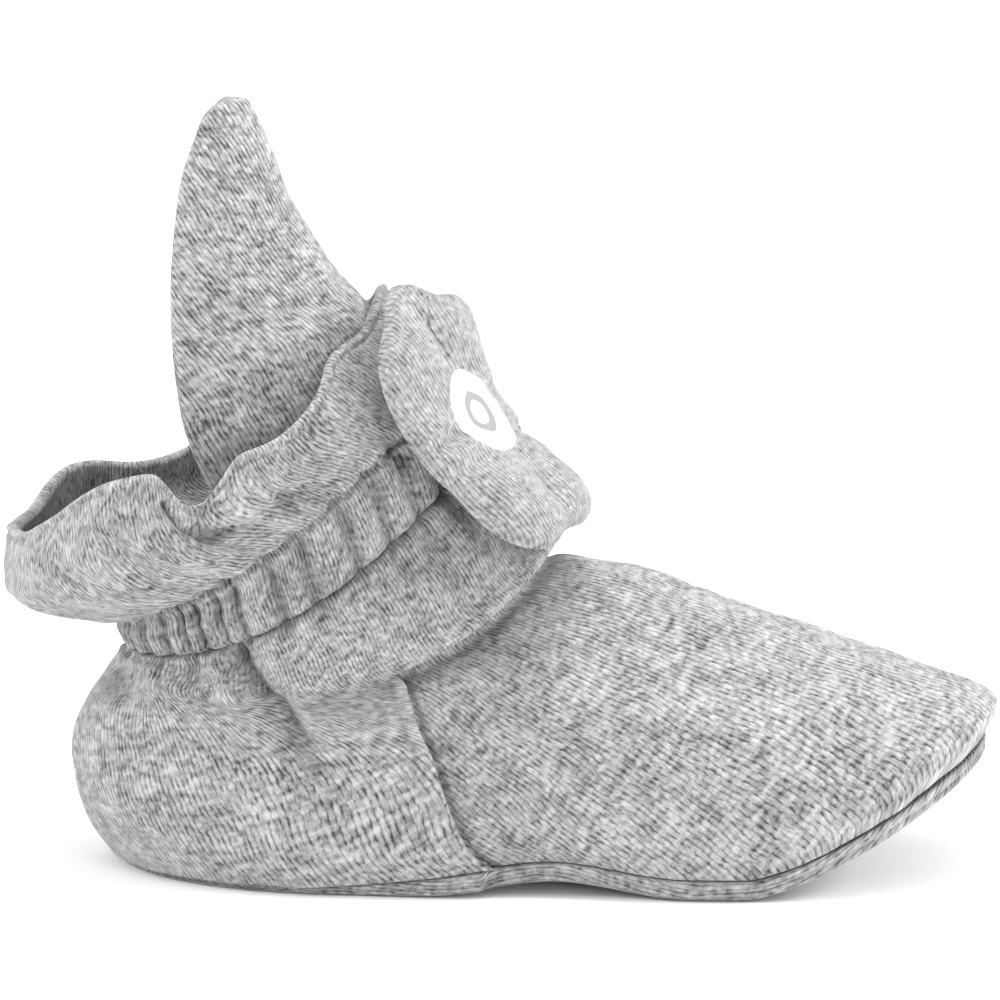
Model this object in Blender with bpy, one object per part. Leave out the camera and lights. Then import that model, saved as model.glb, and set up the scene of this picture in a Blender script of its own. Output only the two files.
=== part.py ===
"""Baby bootie slipper in grey cotton jersey: sole, insole, hollow upper with a gathered ankle and frill,
standing tongue and padded closure tab. Sizes are in millimetres and turned into metres as vertices are made.
Lengths along the foot (x) run from the back of the heel to the toe, y is negative on the outer side, which the
tab is turned to, and z is the height over the floor."""

import math

import bmesh
import bpy
from mathutils import Vector

MM = 0.001

FOOT_LENGTH = 120.0
HEEL_SEAT_X = 24.0  # the part's origin lies on the floor under this place
GAP = 0.3  # between pieces that touch

UPPER_WALL = 1.8
LAP_STEP = 1.3  # the heel cloth lies over the toe cloth by this much at the side seam
FLAP_STEP = 2.0  # and the ankle's flap by this much over the instep
LINING = -UPPER_WALL - 0.5 * LAP_STEP  # the upper's inner face, against the surface that the rings give
LAP_ANGLE = 100.0  # column of the mesh that follows the side seam, where heel cloth and toe cloth meet
LAP_SLOPE = 1.2  # columns of the mesh, in degrees, between the step's foot and its head
LAP_RISE = 1.08  # degrees from the seam over which the step rises, all before the head's column
FLAP_RISE = 0.08  # share of a row over which the flap's step rises
FLAP_FADE = (-10.0, 14.0)  # degrees from the seam between which the flap's step falls to the seam's
SOLE_THICK = 2.4
SOLE_PROUD = 0.5  # the sole shows this far outside the toe cloth
HEEL_OVERHANG = 1.2  # and lies this far inside the heel cloth's face
INSOLE_THICK = 1.5
TONGUE_THICK = 2.2
TAB_THICK = 4.4
TAB_EDGE_THICK = 1.85
TAB_EDGE_TUCK = 0.65  # its back face rounds up at the edge by this much
TAB_BACK_SHARE = 0.985  # its back's size against its front

TOE_SPRING = 15.0
TOE_SPRING_START = 87.5
TOE_SPRING_POWER = 1.3
ARCH_HEIGHT = 1.7
ARCH_START = 46.0
ARCH_END = 79.0

AROUND = 60  # columns round the upper
SOLE_AROUND = 56  # and round the sole and insole
BETWEEN = 2  # rows of the mesh for each row of the table
NEAR_SEAM = 0.45  # an even column this share of a step from a seam's column, or nearer, is left out
DIRECTION_STEP = 1.0  # degrees to each side, for finding which way a face looks
ROW_STEP = 0.1  # and share of a row up and down

# The sole's side from its underside up: how far outside the sole's edge, and the share of the height that shows.
SOLE_SIDE = (
    (-2.6, 0.00),
    (-0.9, 0.00),
    (-0.15, 0.25),
    (-0.3, 0.48),
    (0.0, 0.68),
    (-0.15, 0.88),
    (-0.7, 1.00),
)
SOLE_TOP_BEVEL = 0.3
# The insole's side from its underside up: how far outside the upper's lining, and how far over its underside.
INSOLE_SIDE = (
    (-1.8, 0.0),
    (-0.5, 0.4),
    (-0.5, 1.1),
    (-1.5, INSOLE_THICK),
)

# The foot's outline in plan, in even steps from heel to toe: how wide the ellipse through each place is, against
# the half width in the table of rings.
FOOT_OUTLINE = (0.98, 0.93, 0.83, 0.785, 0.95, 1.08, 1.11)

# One closed ring round the foot or ankle on each line, from the sole's edge to the frill's rim. power bends the
# ring's side up towards the front, foot is its share of the foot's outline, spring its share of the toe spring, and
# seam is the angle from the toe at which the side seam crosses it.
RING_COLUMNS = ("name", "back_x", "back_z", "front_x", "front_z", "half_width", "foot", "power", "spring", "seam")
RINGS = (
    ("sole_edge", 5.2, 2.7, 119.3, 17.3, 30.0, 1.00, 1.0, 1.00, 97.6),
    ("side_low", 1.4, 7.0, 121.0, 19.8, 31.6, 1.00, 1.0, 0.90, 99.5),
    ("side_mid", 0.0, 12.5, 120.5, 22.3, 31.3, 1.00, 1.0, 0.60, 101.2),
    ("toe_top", 0.1, 16.6, 114.8, 25.0, 29.2, 0.85, 1.3, 0.35, 100.6),
    ("vamp_low", 1.0, 19.6, 102.8, 29.0, 26.5, 0.60, 2.0, 0.10, 97.5),
    ("vamp_mid", 2.2, 22.0, 89.4, 33.6, 24.4, 0.35, 2.6, 0.00, 91.8),
    ("vamp_high", 3.4, 23.8, 76.2, 38.4, 23.0, 0.15, 3.2, 0.00, 83.8),
    ("lap_edge", 4.5, 25.4, 62.8, 42.6, 22.0, 0.00, 3.9, 0.00, 74.0),
    ("ankle", 5.9, 27.2, 57.6, 49.2, 21.3, 0.00, 2.6, 0.00, 88.0),
    ("band_low", 6.5, 28.8, 53.2, 55.6, 20.6, 0.00, 1.87, 0.00, 100.0),
    ("band_mid", 5.6, 31.0, 51.4, 59.8, 21.3, 0.00, 1.6, 0.00, 100.0),
    ("band_high", 4.8, 33.0, 49.0, 63.6, 20.9, 0.00, 1.4, 0.00, 100.0),
    ("frill_low", -3.2, 32.8, 47.4, 67.6, 23.0, 0.00, 1.4, 0.00, 100.0),
    ("frill_mid", -8.9, 34.9, 45.6, 71.0, 24.6, 0.00, 1.4, 0.00, 100.0),
    ("frill_high", -10.1, 39.2, 43.0, 74.0, 25.2, 0.00, 1.4, 0.00, 100.0),
    ("rim", -9.2, 44.8, 40.0, 76.4, 24.8, 0.00, 1.4, 0.00, 100.0),
)
ROW = {ring[0]: number for number, ring in enumerate(RINGS)}
HEEL_DROP = 1.75  # the heel cloth reaches down round the sole's side
HEEL_DROP_START = 28.0
HEEL_DROP_END = 53.0

# Folds of the frill: angle from the toe (negative on the outer side), how wide, how far out and how far up.
FRILL_FOLDS = (
    (-118.0, 22.0, 1.6, 3.4),
    (-86.0, 7.5, -2.8, -6.0),
    (-58.0, 24.0, 0.8, -5.8),
    (-34.0, 8.0, -1.8, 0.0),
    (-22.0, 14.0, 0.0, -2.2),
    (24.0, 14.0, 1.0, -1.0),
    (52.0, 12.0, -2.2, -3.0),
    (92.0, 22.0, 1.2, -4.8),
    (112.0, 8.0, -1.8, 0.0),
    (135.0, 16.0, 1.2, 2.4),
)

# Cross-sections of the tongue from its seam inside the throat to its tip: the crown's and the edges' places.
TONGUE_COLUMNS = ("crown_x", "crown_z", "edge_x", "edge_z", "edge_y")
TONGUE_SECTIONS = (
    (53.6, 47.0, 36.0, 38.5, 13.0),
    (50.4, 52.4, 27.0, 43.5, 14.8),
    (46.8, 58.6, 19.5, 50.0, 14.8),
    (42.9, 65.0, 15.4, 58.0, 14.6),
    (38.4, 71.2, 13.8, 66.4, 14.0),
    (32.8, 77.6, 13.2, 75.4, 12.0),
    (27.9, 85.4, 13.6, 83.9, 9.0),
    (25.0, 92.4, 14.6, 91.5, 6.0),
    (23.0, 98.6, 16.4, 97.7, 3.4),
)
TONGUE_TIP = (-1.6, 0.0, 2.6)  # from the last section's crown
TONGUE_TIP_SHARE = 0.45  # the tip's size against the last section
TONGUE_ACROSS = 14
TONGUE_STEP = 0.02  # share of the tongue's half width to each side, for finding which way it looks

# The closure tab, laid on the front of the ankle and turned towards the outer side.
TAB_CENTRE = (51.45, -9.3, 56.7)
TAB_LEAN = 42.0  # degrees its long axis leans back
TAB_TURN = 20.5  # degrees it is turned to the outer side
TAB_ROLL = -9.2  # degrees it is turned in its own plane, top towards the outer side
TAB_HALF_LENGTH = 17.8
TAB_HALF_WIDTH = 13.2
TAB_SQUARENESS = 3.4
TAB_WRAP_RADIUS = 84.0
TAB_END_RISE = 2.9  # its two ends stand away from the ankle
TAB_CURL = 4.2  # and the inner corner at the top curls out by this much more
TAB_SPOKES = 36
TAB_RINGS = 5
TAB_STEP = 0.2  # millimetres to each side, for finding which way it looks
# Notches and lobes in the tab's outline: angle from the top of its long axis towards the inner side, how wide, and
# how deep a share. A negative depth is a lobe.
TAB_NOTCHES = (
    (0.0, 14.0, -0.24),
    (38.0, 16.0, -0.11),
    (76.0, 14.0, 0.10),
    (112.0, 14.0, 0.25),
    (180.0, 14.0, 0.06),
    (-112.0, 14.0, 0.07),
)

CLOTH_COLOURS = {
    "sole": (0.47, 0.47, 0.48, 1.0),
    "insole": (0.56, 0.56, 0.57, 1.0),
    "upper": (0.56, 0.56, 0.57, 1.0),
    "tongue": (0.55, 0.55, 0.56, 1.0),
    "closure_tab": (0.60, 0.60, 0.61, 1.0),
}
CLOTH_ROUGHNESS = 0.95


def smooth_step(low, high, value):
    """0 below low, 1 above high, and smooth between."""
    share = min(1.0, max(0.0, (value - low) / (high - low)))
    return share * share * (3.0 - 2.0 * share)


def curve_through(values, place):
    """Catmull-Rom curve through evenly spaced values, at a place from 0 to len(values) - 1."""
    last = len(values) - 1
    first = min(last - 1, max(0, int(place)))
    share = place - first
    p1, p2 = values[first], values[first + 1]
    p0 = values[first - 1] if first > 0 else 2.0 * p1 - p2
    p3 = values[first + 2] if first + 2 <= last else 2.0 * p2 - p1
    bend = 2.0 * p0 - 5.0 * p1 + 4.0 * p2 - p3
    twist = -p0 + 3.0 * p1 - 3.0 * p2 + p3
    return 0.5 * (2.0 * p1 + (p2 - p0) * share + bend * share**2 + twist * share**3)


def table_at(rows, columns, place):
    """The table's numbers between two of its rows, as a dict."""
    numbers = [c for c in columns if c != "name"]
    skip = len(columns) - len(numbers)
    return {c: curve_through([row[i + skip] for row in rows], place) for i, c in enumerate(numbers)}


def foot_width(place):
    """How wide the foot is at a place from -1 at the heel to 1 at the toe, against the half width."""
    return curve_through(FOOT_OUTLINE, 0.5 * (place + 1.0) * (len(FOOT_OUTLINE) - 1))


def toe_spring(x):
    share = max(0.0, (x - TOE_SPRING_START) / (FOOT_LENGTH - TOE_SPRING_START))
    return TOE_SPRING * share**TOE_SPRING_POWER


def heel_drop(x):
    """How far the heel cloth's edge reaches down round the sole."""
    return HEEL_DROP * (1.0 - smooth_step(HEEL_DROP_START, HEEL_DROP_END, x))


def arch(x):
    """How far the sole's underside is off the floor between heel and ball."""
    middle = 0.5 * (ARCH_START + ARCH_END)
    return ARCH_HEIGHT * smooth_step(ARCH_START, middle, x) * (1.0 - smooth_step(middle, ARCH_END, x))


def angle_between(a, b):
    """The smaller angle between two directions, in degrees."""
    return abs((a - b + 180.0) % 360.0 - 180.0)


def frill_shape(angle, row):
    """How far the frill's folds move a point out and up."""
    share = smooth_step(ROW["band_high"], ROW["rim"], row)
    out = up = 0.0
    for centre, width, fold_out, fold_up in FRILL_FOLDS:
        near = math.exp(-((angle_between(angle, centre) / width) ** 2))
        out += fold_out * near
        up += fold_up * near
    return out * share, up * share


def upper_surface(angle, row):
    """A point of the upper's outer face: angle in degrees from the toe, row in the table of rings."""
    ring = table_at(RINGS, RING_COLUMNS, row)
    across, along = math.sin(math.radians(angle)), math.cos(math.radians(angle))
    share = 0.5 * (1.0 + along)
    x = ring["back_x"] + (ring["front_x"] - ring["back_x"]) * share
    level_front = ring["front_z"] - ring["spring"] * toe_spring(ring["front_x"])
    z = ring["back_z"] + (level_front - ring["back_z"]) * share ** ring["power"]
    z += ring["spring"] * toe_spring(x)
    z += max(0.0, 1.0 - row) * (arch(x) - heel_drop(x))
    half_width = ring["half_width"] * (1.0 - ring["foot"] + ring["foot"] * foot_width(along))
    out, up = frill_shape(angle, row)
    return Vector((x + out * along, across * (half_width + out), z + up))


def upper_normal(angle, row):
    """The outward direction of the upper's face."""
    last = len(RINGS) - 1
    before, after = max(0.0, row - ROW_STEP), min(last, row + ROW_STEP)
    round_it = upper_surface(angle + DIRECTION_STEP, row) - upper_surface(angle - DIRECTION_STEP, row)
    up_it = upper_surface(angle, after) - upper_surface(angle, before)
    normal = round_it.cross(up_it).normalized()
    normal.z *= smooth_step(0.0, 1.0, row)  # the wall's lower edge is level
    return normal.normalized()


def seam_angle(row):
    return curve_through([ring[RING_COLUMNS.index("seam")] for ring in RINGS], row)


def column_angle(column, row):
    """The angle of a mesh column, in degrees from the toe: the column at LAP_ANGLE follows the side seam."""
    seam = seam_angle(row)
    turned = angle_between(column, 0.0)
    if turned <= LAP_ANGLE:
        moved = turned * seam / LAP_ANGLE
    else:
        moved = 180.0 - (180.0 - turned) * (180.0 - seam) / (180.0 - LAP_ANGLE)
    return moved if column <= 180.0 else -moved


def lap_height(angle, row):
    """How far the heel and ankle cloth stands over the toe cloth."""
    seam = seam_angle(row)
    turned = angle_between(angle, 0.0)
    heel = LAP_STEP * smooth_step(seam, seam + LAP_RISE, turned)
    above = smooth_step(ROW["lap_edge"] - FLAP_RISE, ROW["lap_edge"], row)
    flap = FLAP_STEP + (LAP_STEP - FLAP_STEP) * smooth_step(seam + FLAP_FADE[0], seam + FLAP_FADE[1], turned)
    return max(heel, flap * above) * (1.0 - smooth_step(ROW["ankle"], ROW["band_low"], row))


def upper_outside(angle, row):
    return upper_surface(angle, row) + upper_normal(angle, row) * (lap_height(angle, row) - 0.5 * LAP_STEP)


def upper_inside(angle, row):
    return upper_surface(angle, row) + upper_normal(angle, row) * LINING


def to_frame(point):
    """A point in millimetres from the back of the heel, as metres from the part's origin."""
    return Vector(((point[0] - HEEL_SEAT_X) * MM, point[1] * MM, point[2] * MM))


def cloth(name):
    material = bpy.data.materials.new(name + "_jersey")
    material.use_nodes = True
    shader = material.node_tree.nodes["Principled BSDF"]
    shader.inputs["Base Color"].default_value = CLOTH_COLOURS[name]
    shader.inputs["Roughness"].default_value = CLOTH_ROUGHNESS
    shader.inputs["Metallic"].default_value = 0.0
    material.diffuse_color = CLOTH_COLOURS[name]
    return material


def add_object(name, bm):
    """Writes the bmesh as a named object, smooth, with its faces pointing out and its own cloth."""
    bmesh.ops.recalc_face_normals(bm, faces=bm.faces)
    mesh = bpy.data.meshes.new(name)
    bm.to_mesh(mesh)
    bm.free()
    mesh.materials.append(cloth(name))
    mesh.shade_smooth()
    made = bpy.data.objects.new(name, mesh)
    bpy.context.scene.collection.objects.link(made)
    return made


def add_loop(bm, points):
    return [bm.verts.new(to_frame(point)) for point in points]


def bridge(bm, one, other):
    """Quads between two closed loops with the same number of vertices."""
    for i in range(len(one)):
        k = (i + 1) % len(one)
        bm.faces.new((one[i], one[k], other[k], other[i]))


def upper_columns():
    """Even steps round the foot, with pairs of columns at the two side seams for a crisp step."""
    step = 360.0 / AROUND
    seams = [LAP_ANGLE, LAP_ANGLE + LAP_SLOPE, 360.0 - LAP_ANGLE - LAP_SLOPE, 360.0 - LAP_ANGLE]
    even = [i * step for i in range(AROUND)]
    return sorted([a for a in even if all(angle_between(a, s) > NEAR_SEAM * step for s in seams)] + seams)


def upper_rows():
    """Even steps up the rings, with a pair of rows at the lap's edge for a crisp step."""
    rows = [i / BETWEEN for i in range((len(RINGS) - 1) * BETWEEN + 1)]
    return sorted(rows + [ROW["lap_edge"] - FLAP_RISE])


def build_upper():
    """One hollow solid, open at the collar and under the foot."""
    bm = bmesh.new()
    columns = upper_columns()
    rows = upper_rows()
    outside = [add_loop(bm, [upper_outside(column_angle(c, r), r) for c in columns]) for r in rows]
    inside = [add_loop(bm, [upper_inside(column_angle(c, r), r) for c in columns]) for r in rows]
    for one, other in zip(outside, outside[1:]):
        bridge(bm, one, other)
    for one, other in zip(inside, inside[1:]):
        bridge(bm, other, one)
    bridge(bm, inside[0], outside[0])
    bridge(bm, outside[-1], inside[-1])
    return add_object("upper", bm)


def foot_point(angle, out, up):
    """A point by the foot's outline: how far outside it, and how far over the sole's underside."""
    edge = upper_surface(angle, 0.0)
    outward = upper_normal(angle, 0.0) * out
    x = edge.x + outward.x
    return Vector((x, edge.y + outward.y, toe_spring(x) + arch(x) + up))


def build_pad(name, profile):
    """A closed pad with the foot's outline. profile gives, for an angle, (out, up) pairs from underside to top."""
    bm = bmesh.new()
    angles = [360.0 * i / SOLE_AROUND for i in range(SOLE_AROUND)]
    levels = len(profile(0.0))
    loops = [add_loop(bm, [foot_point(a, *profile(a)[level]) for a in angles]) for level in range(levels)]
    for one, other in zip(loops, loops[1:]):
        bridge(bm, one, other)
    half = SOLE_AROUND // 2
    for loop in (loops[0], loops[-1]):
        bm.faces.new((loop[0], loop[1], loop[-1]))
        for i in range(1, half - 1):
            bm.faces.new((loop[i], loop[i + 1], loop[-i - 1], loop[-i]))
        bm.faces.new((loop[half - 1], loop[half], loop[half + 1]))
    return add_object(name, bm)


def sole_profile(angle):
    """The sole's grooved side, proud of the toe cloth and under the heel cloth, and the part tucked inside."""
    drop = heel_drop(upper_surface(angle, 0.0).x)
    high = SOLE_THICK - drop
    under_heel = drop / HEEL_DROP
    cloth_face = lap_height(angle, 0.0) - 0.5 * LAP_STEP
    edge = cloth_face + SOLE_PROUD - (HEEL_OVERHANG + SOLE_PROUD) * under_heel
    tucked = LINING - GAP
    side = tuple((edge + out, share * high) for out, share in SOLE_SIDE)
    return side + ((tucked, high), (tucked - SOLE_TOP_BEVEL, SOLE_THICK))


def insole_profile(_angle):
    return tuple((LINING + out, SOLE_THICK + GAP + up) for out, up in INSOLE_SIDE)


def tongue_surface(across, row):
    """The tongue's middle: across from -1 at the outer edge to 1, row in the table of sections."""
    section = table_at(TONGUE_SECTIONS, TONGUE_COLUMNS, row)
    turn = math.radians(90.0 * across)
    depth = 1.0 - math.cos(turn)
    x = section["crown_x"] + (section["edge_x"] - section["crown_x"]) * depth
    z = section["crown_z"] + (section["edge_z"] - section["crown_z"]) * depth
    return Vector((x, section["edge_y"] * math.sin(turn), z))


def tongue_normal(across, row):
    last = len(TONGUE_SECTIONS) - 1
    before, after = max(0.0, row - ROW_STEP), min(last, row + ROW_STEP)
    sideways = tongue_surface(across + TONGUE_STEP, row) - tongue_surface(across - TONGUE_STEP, row)
    upward = tongue_surface(across, after) - tongue_surface(across, before)
    return sideways.cross(upward).normalized()


def build_tongue():
    """A folded leaf of two cloth layers that stands up out of the throat."""
    bm = bmesh.new()
    last = len(TONGUE_SECTIONS) - 1
    rows = [i * 0.5 for i in range(2 * last + 1)]
    steps = [-1.0 + 2.0 * i / TONGUE_ACROSS for i in range(TONGUE_ACROSS + 1)]
    loops = []
    for row in rows:
        half = 0.5 * TONGUE_THICK
        front = [tongue_surface(a, row) + tongue_normal(a, row) * half for a in steps]
        back = [tongue_surface(a, row) - tongue_normal(a, row) * half for a in reversed(steps)]
        loops.append(add_loop(bm, front + back))
    tip_centre = tongue_surface(0.0, last) + Vector(TONGUE_TIP)
    loops.append(add_loop(bm, [tip_centre.lerp(point, TONGUE_TIP_SHARE) for point in front + back]))
    for one, other in zip(loops, loops[1:]):
        bridge(bm, one, other)
    bm.faces.new(loops[0])
    bm.faces.new(list(reversed(loops[-1])))
    return add_object("tongue", bm)


def tab_outline(angle):
    """The tab's edge: distance from its centre at an angle in degrees from its long axis."""
    turn = math.radians(angle)
    long_part = abs(math.cos(turn) / TAB_HALF_LENGTH) ** TAB_SQUARENESS
    wide_part = abs(math.sin(turn) / TAB_HALF_WIDTH) ** TAB_SQUARENESS
    reach = (long_part + wide_part) ** (-1.0 / TAB_SQUARENESS)
    for centre, width, depth in TAB_NOTCHES:
        reach *= 1.0 - depth * math.exp(-((angle_between(angle, centre) / width) ** 2))
    return reach


def tab_axes():
    """The tab's directions: along its length, across it to the inner side, and outwards."""
    lean, turn, roll = math.radians(TAB_LEAN), math.radians(TAB_TURN), math.radians(TAB_ROLL)
    upright = Vector((-math.sin(lean), 0.0, math.cos(lean)))
    front = Vector((math.cos(lean), 0.0, math.sin(lean)))
    side = Vector((0.0, 1.0, 0.0))
    level = side * math.cos(turn) + front * math.sin(turn)
    outward = front * math.cos(turn) - side * math.sin(turn)
    along = upright * math.cos(roll) - level * math.sin(roll)
    across = level * math.cos(roll) + upright * math.sin(roll)
    return along, across, outward


def tab_sheet(a, b):
    """The tab's inner face: a across and b along, in millimetres, bent round the ankle."""
    along, across, outward = tab_axes()
    bend = a / TAB_WRAP_RADIUS
    rise = TAB_END_RISE * (b / TAB_HALF_LENGTH) ** 2
    rise += TAB_CURL * max(0.0, b / TAB_HALF_LENGTH) ** 2 * max(0.0, a / TAB_HALF_WIDTH)
    place = Vector(TAB_CENTRE) + along * b
    place += across * TAB_WRAP_RADIUS * math.sin(bend)
    return place + outward * (rise - TAB_WRAP_RADIUS * (1.0 - math.cos(bend)))


def tab_normal(a, b):
    sideways = tab_sheet(a + TAB_STEP, b) - tab_sheet(a - TAB_STEP, b)
    lengthways = tab_sheet(a, b + TAB_STEP) - tab_sheet(a, b - TAB_STEP)
    return sideways.cross(lengthways).normalized()


def build_closure_tab():
    """A padded patch with four round lobes."""
    bm = bmesh.new()
    spokes = [360.0 * i / TAB_SPOKES for i in range(TAB_SPOKES)]
    shares = [math.sin(math.radians(90.0 * i / TAB_RINGS)) for i in range(1, TAB_RINGS + 1)]

    def face_point(angle, share, height):
        reach = share * tab_outline(angle)
        a, b = reach * math.sin(math.radians(angle)), reach * math.cos(math.radians(angle))
        return tab_sheet(a, b) + tab_normal(a, b) * height

    outer, inner = [], []
    for share in shares:
        puff = math.sqrt(max(0.0, 1.0 - share**3))
        over = TAB_EDGE_THICK + (TAB_THICK - TAB_EDGE_THICK) * puff
        under = TAB_EDGE_TUCK * (1.0 - puff)
        outer.append(add_loop(bm, [face_point(s, share, over) for s in spokes]))
        inner.append(add_loop(bm, [face_point(s, share * TAB_BACK_SHARE, under) for s in spokes]))
    for rings in (outer, inner):
        for one, other in zip(rings, rings[1:]):
            bridge(bm, one, other)
    bridge(bm, outer[-1], inner[-1])
    for rings, height in ((outer, TAB_THICK), (inner, 0.0)):
        centre = bm.verts.new(to_frame(face_point(0.0, 0.0, height)))
        for i in range(TAB_SPOKES):
            bm.faces.new((centre, rings[0][i], rings[0][(i + 1) % TAB_SPOKES]))
    return add_object("closure_tab", bm)


def main():
    for old in list(bpy.data.objects):
        bpy.data.objects.remove(old)
    build_upper()
    build_pad("sole", sole_profile)
    build_pad("insole", insole_profile)
    build_tongue()
    build_closure_tab()


main()
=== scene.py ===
"""Looks of the baby bootie slipper: cut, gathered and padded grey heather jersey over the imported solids.
Lengths are in millimetres and turned into metres as vertices are made. x runs from the back of the heel to
the toe, y is negative on the outer side, which the tab is turned to, and z is the height over the floor."""

import math
from functools import partial

import bpy
import numpy as np
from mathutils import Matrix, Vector


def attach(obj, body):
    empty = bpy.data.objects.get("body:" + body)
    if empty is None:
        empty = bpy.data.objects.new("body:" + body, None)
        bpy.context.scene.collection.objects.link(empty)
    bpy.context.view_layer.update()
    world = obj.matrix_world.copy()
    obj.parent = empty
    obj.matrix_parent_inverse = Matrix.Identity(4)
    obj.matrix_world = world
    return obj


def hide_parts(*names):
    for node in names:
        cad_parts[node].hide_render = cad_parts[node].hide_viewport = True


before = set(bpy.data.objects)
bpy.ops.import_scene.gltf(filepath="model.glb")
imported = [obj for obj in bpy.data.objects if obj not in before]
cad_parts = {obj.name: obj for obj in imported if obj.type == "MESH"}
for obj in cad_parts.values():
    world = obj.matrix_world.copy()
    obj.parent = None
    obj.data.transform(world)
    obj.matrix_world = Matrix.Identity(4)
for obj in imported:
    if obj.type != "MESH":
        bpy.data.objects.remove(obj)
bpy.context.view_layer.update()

MM = 0.001

# Sizes shared with the solids
FOOT_LENGTH = 120.0
HEEL_SEAT_X = 24.0
GAP = 0.3
UPPER_WALL = 1.8
LAP_STEP = 1.3
FLAP_STEP = 2.0
FLAP_RISE = 1.0
FLAP_FADE = (-10.0, 14.0)
FACE = -0.5 * LAP_STEP  # the toe cloth's and the frill's outer face, measured from the rings' surface
LINING = FACE - UPPER_WALL
LAP_ANGLE = 100.0
SOLE_THICK = 2.4
SOLE_PROUD = 0.5
HEEL_OVERHANG = 1.2
INSOLE_THICK = 1.5
TONGUE_THICK = 2.2
TAB_THICK = 4.4
TAB_EDGE_THICK = 1.85
TAB_EDGE_TUCK = 0.65
TOE_SPRING = 15.0
TOE_SPRING_START = 87.5
TOE_SPRING_POWER = 1.3
ARCH_HEIGHT = 1.7
ARCH_START = 46.0
ARCH_END = 79.0
HEEL_DROP = 1.75
HEEL_DROP_START = 28.0
HEEL_DROP_END = 53.0
FOOT_OUTLINE = (0.98, 0.93, 0.83, 0.785, 0.95, 1.08, 1.11)

RING_COLUMNS = (
    ("name", "back_x", "back_z", "front_x", "front_z")
    + ("half_width", "foot", "power", "spring", "seam")
)
RINGS = (
    ("sole_edge", 5.2, 2.7, 119.3, 17.3, 30.0, 1.00, 1.0, 1.00, 97.6),
    ("side_low", 1.4, 7.0, 121.0, 19.8, 31.6, 1.00, 1.0, 0.90, 99.5),
    ("side_mid", 0.0, 12.5, 120.5, 22.3, 31.3, 1.00, 1.0, 0.60, 101.2),
    ("toe_top", 0.1, 16.6, 114.8, 25.0, 29.2, 0.85, 1.3, 0.35, 100.6),
    ("vamp_low", 1.0, 19.6, 102.8, 29.0, 26.5, 0.60, 2.0, 0.10, 97.5),
    ("vamp_mid", 2.2, 22.0, 89.4, 33.6, 24.4, 0.35, 2.6, 0.00, 91.8),
    ("vamp_high", 3.4, 23.8, 76.2, 38.4, 23.0, 0.15, 3.2, 0.00, 83.8),
    ("lap_edge", 4.5, 25.4, 62.8, 42.6, 22.0, 0.00, 3.9, 0.00, 74.0),
    ("ankle", 5.9, 27.2, 57.6, 49.2, 21.3, 0.00, 2.6, 0.00, 88.0),
    ("band_low", 6.5, 28.8, 53.2, 55.6, 20.6, 0.00, 1.87, 0.00, 100.0),
    ("band_mid", 5.6, 31.0, 51.4, 59.8, 21.3, 0.00, 1.6, 0.00, 100.0),
    ("band_high", 4.8, 33.0, 49.0, 63.6, 20.9, 0.00, 1.4, 0.00, 100.0),
    ("frill_low", -3.2, 32.8, 47.4, 67.6, 23.0, 0.00, 1.4, 0.00, 100.0),
    ("frill_mid", -8.9, 34.9, 45.6, 71.0, 24.6, 0.00, 1.4, 0.00, 100.0),
    ("frill_high", -10.1, 39.2, 43.0, 74.0, 25.2, 0.00, 1.4, 0.00, 100.0),
    ("rim", -9.2, 44.8, 40.0, 76.4, 24.8, 0.00, 1.4, 0.00, 100.0),
)
ROW = {ring[0]: number for number, ring in enumerate(RINGS)}

# Folds of the frill: angle from the toe (negative on the outer side), how wide, how far out and how far up.
FRILL_FOLDS = (
    (-118.0, 22.0, 1.6, 3.4),
    (-86.0, 7.5, -2.8, -6.0),
    (-58.0, 24.0, 0.8, -5.8),
    (-34.0, 8.0, -1.8, 0.0),
    (-22.0, 14.0, 0.0, -2.2),
    (24.0, 14.0, 1.0, -1.0),
    (52.0, 12.0, -2.2, -3.0),
    (92.0, 22.0, 1.2, -4.8),
    (112.0, 8.0, -1.8, 0.0),
    (135.0, 16.0, 1.2, 2.4),
)

TONGUE_COLUMNS = ("crown_x", "crown_z", "edge_x", "edge_z", "edge_y")
TONGUE_SECTIONS = (
    (53.6, 47.0, 36.0, 38.5, 13.0),
    (50.4, 52.4, 27.0, 43.5, 14.8),
    (46.8, 58.6, 19.5, 50.0, 14.8),
    (42.9, 65.0, 15.4, 58.0, 14.6),
    (38.4, 71.2, 13.8, 66.4, 14.0),
    (32.8, 77.6, 13.2, 75.4, 12.0),
    (27.9, 85.4, 13.6, 83.9, 9.0),
    (25.0, 92.4, 14.6, 91.5, 6.0),
    (23.0, 98.6, 16.4, 97.7, 3.4),
)
TONGUE_TIP = (-1.6, 0.0, 2.6)

TAB_CENTRE = (51.45, -9.3, 56.7)
TAB_LEAN = 42.0
TAB_TURN = 20.5
TAB_ROLL = -9.2
TAB_HALF_LENGTH = 17.8
TAB_HALF_WIDTH = 13.2
TAB_SQUARENESS = 3.4
TAB_WRAP_RADIUS = 84.0
TAB_END_RISE = 2.9
TAB_CURL = 4.2
TAB_NOTCHES = (
    (0.0, 14.0, -0.24),
    (38.0, 16.0, -0.11),
    (76.0, 14.0, 0.10),
    (112.0, 14.0, 0.25),
    (180.0, 14.0, 0.06),
    (-112.0, 14.0, 0.07),
)

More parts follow.
